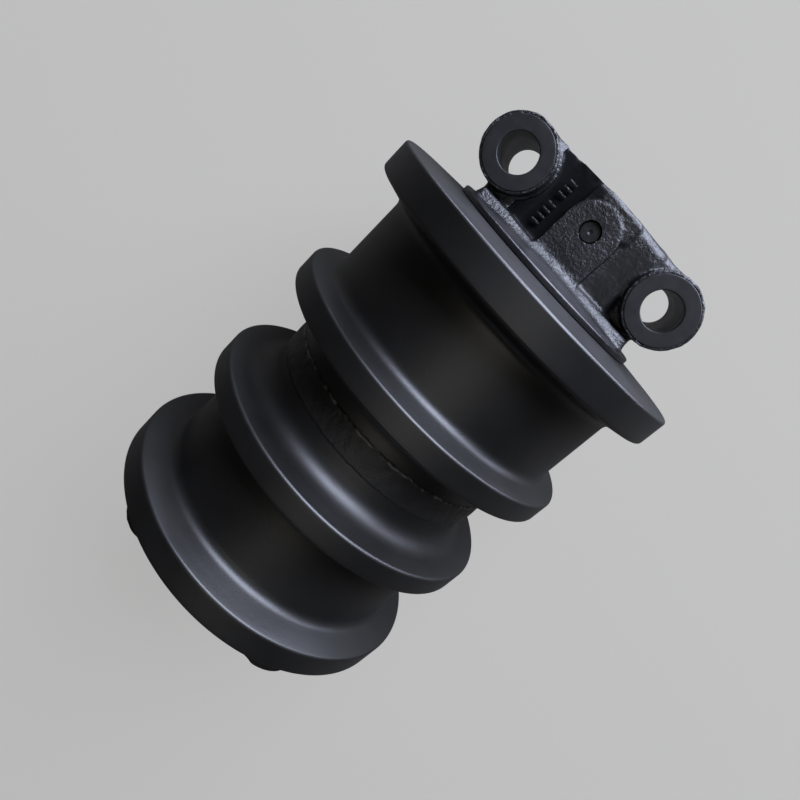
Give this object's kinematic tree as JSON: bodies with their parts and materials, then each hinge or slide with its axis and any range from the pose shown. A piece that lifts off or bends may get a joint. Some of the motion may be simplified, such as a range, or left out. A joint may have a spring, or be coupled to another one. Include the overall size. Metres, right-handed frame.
{
  "type": "track roller",
  "caption": "Lower track roller with two flanged treads on one welded shell, turning on a fixed shaft between cast collars that bolt under a track frame.",
  "frame": {"origin": "middle of the roller, on its axis", "axes": "+Y along the roller's axis; +Z is the side that is bolted to the track frame"},
  "size_m": [0.216, 0.364, 0.216],
  "materials": {
    "shell_paint": "satin black paint",
    "cast_paint": "semi-gloss black paint on a rough casting",
    "pin_steel": "black paint over steel",
    "shaft_steel": "ground",
    "plug_steel": "zinc plated",
    "bronze": "machined",
    "seal_iron": "lapped",
    "rubber": "matte"
  },
  "bodies": {
    "mount": {"collar_left": "cast_paint", "lock_pin_left": "pin_steel", "collar_seal_ring_left": "seal_iron", "collar_seal_toric_left": "rubber", "shaft_o_ring_left": "rubber", "collar_right": "cast_paint", "lock_pin_right": "pin_steel", "collar_seal_ring_right": "seal_iron", "collar_seal_toric_right": "rubber", "shaft_o_ring_right": "rubber", "shaft": "shaft_steel", "oil_plug": "plug_steel", "plug_washer": "rubber"},
    "roller": {"shell_left": "shell_paint", "bushing_left": "bronze", "shell_seal_ring_left": "seal_iron", "shell_seal_toric_left": "rubber", "shell_right": "shell_paint", "bushing_right": "bronze", "shell_seal_ring_right": "seal_iron", "shell_seal_toric_right": "rubber", "weld_bead": "shell_paint"}
  },
  "joints": [
    {"name": "roller_spin", "type": "hinge", "parent": "mount", "child": "roller", "pos_m": [0, 0, 0], "axis": [0, 1, 0], "continuous": true}
  ]
}
